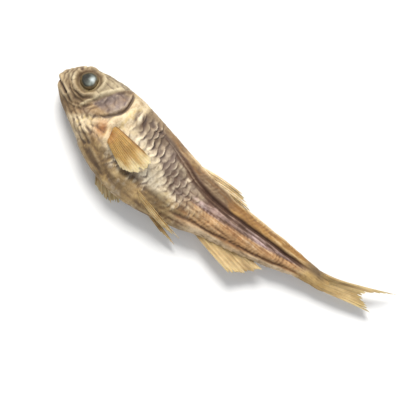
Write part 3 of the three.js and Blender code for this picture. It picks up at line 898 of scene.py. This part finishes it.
def make_body(material):
    x, phi = body_grid()
    y, w = smooth_skin(x, phi)
    normals = grid_normals(np.stack([x, y, w], axis=-1))
    out = np.sin(phi)
    side = np.where(out < 0, -1, 1)
    on_flank = step(0, 0.35, np.abs(out))
    share = (y - belly(x)) / (back(x) - belly(x))
    left = scale_pattern(x, y, w, 1)
    right = scale_pattern(x, y, w, 2)
    scales = [np.where(side > 0, first, second) for first, second in zip(left, right)]
    groove, strips = muscle_relief(x, y, w, share)
    large = (head_relief(x, y, w) + groove + strips + shrink_relief(x, y, side)) * on_flank
    keel = ridge(np.cos(phi) + 1, KEEL) * within(11, 30, 3, x)
    crest = ridge(np.cos(phi) - 1, CREST) * within(12, 46, 4, x)
    detail = skin_detail(x, y, w, share, *scales)
    relief = large + mouth_relief(x, y) + keel + crest + detail
    cavity = relief - softened(relief, 5, 3)
    tints = skin_colours(x, y, w, share, cavity, groove, scales)
    pearl = 0.45 * within(9, 12.3, 0.5, x) + 0.5 * fold_zone(x, y) * scales[1]
    moved = np.stack([x, y, w], axis=-1) + normals * relief[..., None]
    z = on_tray(moved[..., 0], moved[..., 2])
    points = placed(moved[..., 0], moved[..., 1], z)
    all_points = np.vstack([points.reshape(-1, 3), points[0].mean(axis=0), points[-1].mean(axis=0)])
    all_tints = np.vstack([tints.reshape(-1, 3), tints[0, 0], tints[-1, 0]])
    all_pearl = np.concatenate([pearl.ravel(), [0, 0]])
    faces = closed_faces(BODY_RINGS, RING_POINTS)
    make_piece("minnow_body", all_points, faces, all_tints, all_pearl, material)


# ---- the eyes
EYE_SILVER = colour(134, 140, 134)
# Painted highlight of the eye.
EYE_GLINT = colour(206, 215, 216)
EYE_DARK = colour(40, 38, 33)
EYE_TEAL = colour(92, 98, 90)
EYE_EDGE = colour(98, 80, 52)


def eye_colours(x, y, r):
    """x and y from the eye's middle, and r as a share of its radius."""
    cloud = rough_noise(1.1 * x, 1.1 * y, 0 * x, 91)
    return layered(np.broadcast_to(EYE_TEAL, (*x.shape, 3)), [
        (EYE_SILVER, 0.7 * step(0, 0.5, cloud + 0.1)),
        (EYE_DARK, 0.95 * patch(x + 0.75 + 0.3 * cloud, y, 0.8, 1.2)),
        (EYE_DARK, 0.75 * bump(r - 0.74, 0.1)),
        # Painted highlight on the eye.
        (EYE_GLINT, 0.95 * patch(x - 0.35, y - 0.3, 0.5, 0.55) * (0.9 + 0.5 * cloud)),
        (EYE_EDGE, step(0.64, 0.92, r + 0.2 * cloud)),
    ])


def make_eye(name, side, material):
    """A dented dome in front and a round back that sits in the head. side is 1 or -1."""
    turn = np.arange(EYE_POINTS) * 2 * math.pi / EYE_POINTS
    r, angle = np.meshgrid(np.linspace(0.02, 1, EYE_RINGS), turn, indexing="ij")
    reach = EYE_RADIUS * (0.98 + 0.04 * np.cos(2 * angle + 1) + 0.02 * np.cos(3 * angle + 2)) * r
    x = EYE_X + reach * np.cos(angle)
    y = EYE_Y + reach * np.sin(angle)
    round_form = 0.3 * np.sqrt(np.clip(1 - r**2, 0, 1))
    dome = round_form - 0.14 * bump(r - 0.2, 0.35) - 0.25 * r**4
    dome = dome + 0.05 * rough_noise(1.2 * x, 1.2 * y, 0 * x, 90)
    tints = eye_colours(x - EYE_X, y - EYE_Y, r)
    front = middle_plane(x) + side * (flank_at(x, y) + dome)
    rear = middle_plane(x) + side * (flank_at(x, y) - 0.9 - round_form)
    top = placed(x, y, np.maximum(front, 0.01))
    base = placed(x, y, np.maximum(rear, 0.02))
    rows = np.concatenate([top, base[::-1]])
    row_tints = np.concatenate([tints, tints[::-1]])
    faces = closed_faces(2 * EYE_RINGS, EYE_POINTS)
    if side > 0:
        faces = [face[::-1] for face in faces]
    points = np.vstack([rows.reshape(-1, 3), rows[0].mean(axis=0), rows[-1].mean(axis=0)])
    all_tints = np.vstack([row_tints.reshape(-1, 3), tints[0, 0], tints[0, 0]])
    make_piece(name, points, faces, all_tints, np.zeros(len(points)), material)


# ---- the fins
def fin_tint(fin, a, b, ray):
    """Colours from root to tip, darker between the rays and in streaks."""
    seed = fin["seed"]
    paint = fin["base"] + (fin["tip"] - fin["base"]) * step(0.1, 0.9, b)[..., None]
    streak = rough_noise(7 * a + seed, 1.6 * b, 0 * a, 100 + seed)
    dark = fin.get("lines", 1) * (0.24 * (1 - ray) + 0.5 * step(0.05, 0.6, streak))
    paint = tinted(paint, fin["dark"], dark)
    paint = paint * (1 + 0.08 * noise(30 * a, 5 * b, 0 * a, 101 + seed))[..., None]
    return layered(paint, fin["paint"](a, b)) if "paint" in fin else paint


def fin_wear(across, rays, seed):
    """Share of each ray's length that is torn, split or frayed off."""
    place = across * 2 * rays
    low = np.floor(place)
    torn_low = 0.05 * chance(low, seed) + 0.01 * (low % 2)
    torn_high = 0.05 * chance(low + 1, seed) + 0.01 * ((low + 1) % 2)
    split = 0.3 * np.clip(noise(across * rays * 1.7, 0 * across, 0 * across + seed, 110) - 0.45, 0, 1)
    fray = 0.035 * noise(across * rays * 5, 0 * across, 0 * across, 111 + seed)
    return mix(torn_low, torn_high, place - low) + split - fray


def make_fin(name, fin, material):
    """A thin sheet of rays. a runs across it from the lowest or rearmost ray, b out along each."""
    rays = fin["rays"]
    seed = fin["seed"]
    columns = rays * fin["per_ray"] + 1
    across = np.linspace(0, 1, columns)
    a, b = np.meshgrid(across, np.linspace(0, 1, FIN_STEPS + 1), indexing="ij")
    reach = fin["length"](across) * (1 - fin.get("wear", 1) * fin_wear(across, rays, seed))
    angle = np.radians(fin["heading"](a, b))
    root_x, root_y = fin["root"](across)
    run = np.cos(angle) * reach[:, None] / FIN_STEPS
    rise = np.sin(angle) * reach[:, None] / FIN_STEPS
    x = root_x[:, None] + np.cumsum(run, axis=1) - run
    y = root_y[:, None] + np.cumsum(rise, axis=1) - rise
    ray = (0.5 + 0.5 * np.cos(2 * math.pi * rays * a)) ** 1.5
    joint = 0.02 * np.cos(2 * math.pi * b * reach[:, None] / RAY_JOINT) * ray
    thick = fin["thickness"] * (1 - b) ** 1.4 + MEMBRANE
    thick = thick * mix(1, mix(0.72, 1, ray), step(0.08, 0.3, b)) + joint * step(0.2, 0.5, b)
    thick = thick * mix(0.35, 1, step(0, 0.12, a) * step(0, 0.12, 1 - a))
    thick = thick * mix(1, 0.55, step(0.9, 1, b))
    curl = 0.1 * rough_noise(0.6 * x, 0.9 * y, 0 * x, 120 + seed) * b
    height = middle_plane(x) + fin["sheet"](a, b, x, y) + curl
    top = placed(x, y, np.maximum(height + thick / 2, 0.03))
    under = placed(x, y, np.maximum(height - thick / 2, 0))
    points = np.concatenate([top, under[:, ::-1]], axis=1).reshape(-1, 3)
    tints = fin_tint(fin, a, b, ray)
    row_tints = np.concatenate([tints, tints[:, ::-1]], axis=1).reshape(-1, 3)
    around = 2 * (FIN_STEPS + 1)
    faces = ring_faces(columns, around)
    last = (columns - 1) * around
    for k in range(FIN_STEPS):
        faces.append([k, around - 1 - k, around - 2 - k, k + 1])
        faces.append([last + k, last + k + 1, last + around - 2 - k, last + around - 1 - k])
    make_piece(name, points, faces, row_tints, np.zeros(len(points)), material)


OCHRE = colour(182, 146, 84)
OCHRE_DARK = colour(116, 84, 46)
KHAKI = colour(182, 156, 108)
KHAKI_PALE = colour(196, 176, 130)
FIN_BROWN = colour(128, 102, 66)
CREAM_FIN = colour(204, 180, 134)
PECTORAL_TIP = colour(226, 208, 168)


def tail_paint(a, b):
    """A dark spot at the upper root and gold at the lower one."""
    return [
        (TAIL_DARK, 0.8 * (1 - step(0.05, 0.25, b)) * step(0.5, 0.9, a)),
        (TAIL_GOLD, 0.7 * (1 - step(0.1, 0.45, b)) * (1 - step(0.3, 0.6, a))),
    ]


def pectoral_paint(a, b):
    """An orange root, a pale tip and a dark first ray, painted as the shadow line along the fin's
    lifted top edge.
    """
    return [
        (FIN_BASE_ORANGE, 0.5 * (1 - step(0.05, 0.35, b)) * (1 - step(0.5, 0.9, a))),
        (PECTORAL_TIP, 0.85 * step(0.62, 0.95, b + 0.08 * np.sin(17 * a))),
        # Painted shadow along the fin's lifted top edge.
        (OCHRE_DARK, 0.75 * step(0.9, 0.97, a) * (1 - step(0.8, 0.95, b))),
    ]


tail_fin = {
    "rays": 17,
    "per_ray": 9,
    "root": lambda a: (50.6 + 0.6 * np.abs(2 * a - 1), -0.8 + 1.25 * (2 * a - 1)),
    "heading": lambda a, b: 6 + 14 * step(0, 0.5, b) + (a - 0.5) * (4 + 9 * b),
    "length": lambda a: 9.6
    + (TAIL_FIN_LENGTH - 9.6) * np.clip(2 * a - 1, 0, 1) ** 1.5
    + 2.3 * np.clip(1 - 2 * a, 0, 1) ** 1.5,
    "sheet": lambda a, b, x, y: 0.4 * b * np.sin(7 * a + 3.5 * b) + 0.5 * b * b * (a - 0.5),
    "thickness": 1,
    "seed": 3,
    "base": KHAKI,
    "tip": KHAKI_PALE,
    "dark": FIN_BROWN,
    "paint": tail_paint,
}


def left_pectoral_sheet(a, b, x, y):
    """The fin rises from its root and then stands off the flank."""
    lift = 0.95 * step(0, 0.22, b) + 0.5 * b * b - 0.5 * b * (1 - a)
    return flank_at(x, y) - 0.5 + lift


left_pectoral = {
    "rays": 13,
    "per_ray": 9,
    "root": lambda a: (13 - 0.7 * a, -4.6 + 2.5 * a),
    "heading": lambda a, b: -27 + 25 * a + 4 * b * (1 - 2 * a),
    "length": lambda a: 5.2 + 9.6 * a - 6.2 * a * a,
    "sheet": left_pectoral_sheet,
    "thickness": 0.5,
    "seed": 11,
    "wear": 0.5,
    "lines": 0.5,
    "base": OCHRE,
    "tip": OCHRE,
    "dark": OCHRE_DARK,
    "paint": pectoral_paint,
}


def right_pectoral_sheet(a, b, x, y):
    """The fin comes out of the right flank and spreads on the tray."""
    tray = 0.5 - middle_plane(x) + 0.3 * b * np.sin(6 * a + 1)
    return mix(-flank_at(12.6, -5) + 0.9, tray, step(0, 0.6, b))


right_pectoral = {
    "rays": 6,
    "per_ray": 14,
    "root": lambda a: (12.2 + 1.1 * a, -5.6 + 1.6 * a),
    "heading": lambda a, b: -63 + 16 * a + 9 * b,
    "length": lambda a: 5.9 + 6.6 * a - 3 * a * a,
    "sheet": right_pectoral_sheet,
    "thickness": 0.5,
    "seed": 17,
    "base": CREAM_FIN,
    "tip": PECTORAL_TIP,
    "dark": OCHRE_DARK,
}


def pelvic(side):
    """The pelvic fin of the left side for 1 and of the right side for -1."""
    slope = -14 if side > 0 else -19
    return {
        "rays": 3,
        "per_ray": 22,
        "root": lambda a: (23.1 - 1.5 * a, float(belly(22)) + 1.1 + 1.2 * a),
        "heading": lambda a, b: slope + 3 * a + 7 * b * (1 - a),
        "length": lambda a: 5.5 + 5 * a,
        "sheet": lambda a, b, x, y: side * (1.35 + 0.4 * a - 0.35 * b) + 0.2 * np.sin(4 * b + a),
        "thickness": 0.6,
        "seed": 23 + side,
        "base": KHAKI,
        "tip": CREAM_FIN,
        "dark": FIN_BROWN,
    }


anal_fin = {
    "rays": 7,
    "per_ray": 16,
    "root": lambda a: (31.8 + 9.6 * a, belly(31.8 + 9.6 * a) + 0.7),
    "heading": lambda a, b: -15 + 4 * a + 7 * b,
    "length": lambda a: 9.8 - 6.2 * a,
    "sheet": lambda a, b, x, y: 0.35 * np.sin(5 * a + 2.5 * b) * b + 0.2 * b,
    "thickness": 0.5,
    "seed": 31,
    "base": KHAKI,
    "tip": CREAM_FIN,
    "dark": FIN_BROWN,
}

dorsal_fin = {
    "rays": 6,
    "per_ray": 14,
    "root": lambda a: (31.8 - 6.2 * a, back(31.8 - 6.2 * a) - 0.5),
    "heading": lambda a, b: 9 + 3 * a - 15 * b,
    "length": lambda a: 6 + 4 * a,
    "sheet": lambda a, b, x, y: 0.25 + 0.9 * b + 0.15 * np.sin(9 * a),
    "thickness": 0.5,
    "seed": 41,
    "lines": 0.7,
    "base": BACK_PALE_AND_HIGHLIGHT,
    "tip": BACK_PALE_AND_HIGHLIGHT,
    "dark": FIN_BROWN,
}

skin = skin_material()
fin_skin = fin_material()
eye_skin = eye_material()
make_body(skin)
make_eye("left_eye", 1, eye_skin)
make_eye("right_eye", -1, eye_skin)
for name, fin in (
    ("tail_fin", tail_fin),
    ("left_pectoral_fin", left_pectoral),
    ("right_pectoral_fin", right_pectoral),
    ("left_pelvic_fin", pelvic(1)),
    ("right_pelvic_fin", pelvic(-1)),
    ("anal_fin", anal_fin),
    ("dorsal_fin", dorsal_fin),
):
    make_fin(name, fin, fin_skin)


# ---- floor, light and camera
FLOOR_REACH = 3.0  # metres from the middle to each side
FLOOR_GAP = 0.00003  # metres that the floor lies below the fish


def make_floor():
    material, nodes, links, shader, coordinates = new_material("pale_floor")
    grain = noise_node(nodes, links, coordinates, 60, 3)
    pale = ramp_node(nodes, links, grain, [(0.3, (0.86, 0.86, 0.855)), (0.7, (0.88, 0.88, 0.875))])
    links.new(pale, shader.inputs["Base Color"])
    shader.inputs["Roughness"].default_value = 0.9
    shader.inputs["Specular IOR Level"].default_value = 0.1
    mesh = bpy.data.meshes.new("floor")
    signs = ((-1, -1), (1, -1), (1, 1), (-1, 1))
    corners = [(i * FLOOR_REACH, j * FLOOR_REACH, -FLOOR_GAP) for i, j in signs]
    mesh.from_pydata(corners, [], [(0, 1, 2, 3)])
    mesh.materials.append(material)
    floor = bpy.data.objects.new("floor", mesh)
    bpy.context.scene.collection.objects.link(floor)


def make_light(name, place, target, size, power, tone):
    light = bpy.data.lights.new(name, "AREA")
    light.shape = "DISK"
    light.size = size
    light.energy = power
    light.color = tone
    lamp = bpy.data.objects.new(name, light)
    lamp.location = place
    lamp.rotation_euler = (Vector(target) - Vector(place)).to_track_quat("-Z", "Y").to_euler()
    bpy.context.scene.collection.objects.link(lamp)


CAMERA_AZIMUTH = 38.5
CAMERA_ELEVATION = 79
CAMERA_DISTANCE = 0.34
CAMERA_LENS = 185
CAMERA_TARGET = (0, 0.0005, 0.0025)


def make_camera():
    data = bpy.data.cameras.new("camera")
    data.lens = CAMERA_LENS
    data.sensor_width = 36
    camera = bpy.data.objects.new("camera", data)
    azimuth = math.radians(CAMERA_AZIMUTH)
    elevation = math.radians(CAMERA_ELEVATION)
    direction = Vector((
        math.sin(azimuth) * math.cos(elevation),
        -math.cos(azimuth) * math.cos(elevation),
        math.sin(elevation),
    ))
    camera.location = Vector(CAMERA_TARGET) + direction * CAMERA_DISTANCE
    camera.rotation_euler = direction.to_track_quat("Z", "Y").to_euler()
    bpy.context.scene.collection.objects.link(camera)
    bpy.context.scene.camera = camera


make_floor()
make_light("key", (-0.25, 0.35, 0.5), (0, 0, 0), 0.35, 5.6, (1, 0.98, 0.95))
make_light("fill", (0.5, -0.3, 0.4), (0, 0, 0), 0.6, 1.6, (0.95, 0.97, 1))
make_camera()

world = bpy.data.worlds.new("studio")
world.use_nodes = True
world.node_tree.nodes["Background"].inputs["Color"].default_value = (0.95, 0.97, 1, 1)
world.node_tree.nodes["Background"].inputs["Strength"].default_value = 0.4
bpy.context.scene.world = world
bpy.context.scene.view_settings.view_transform = "Standard"
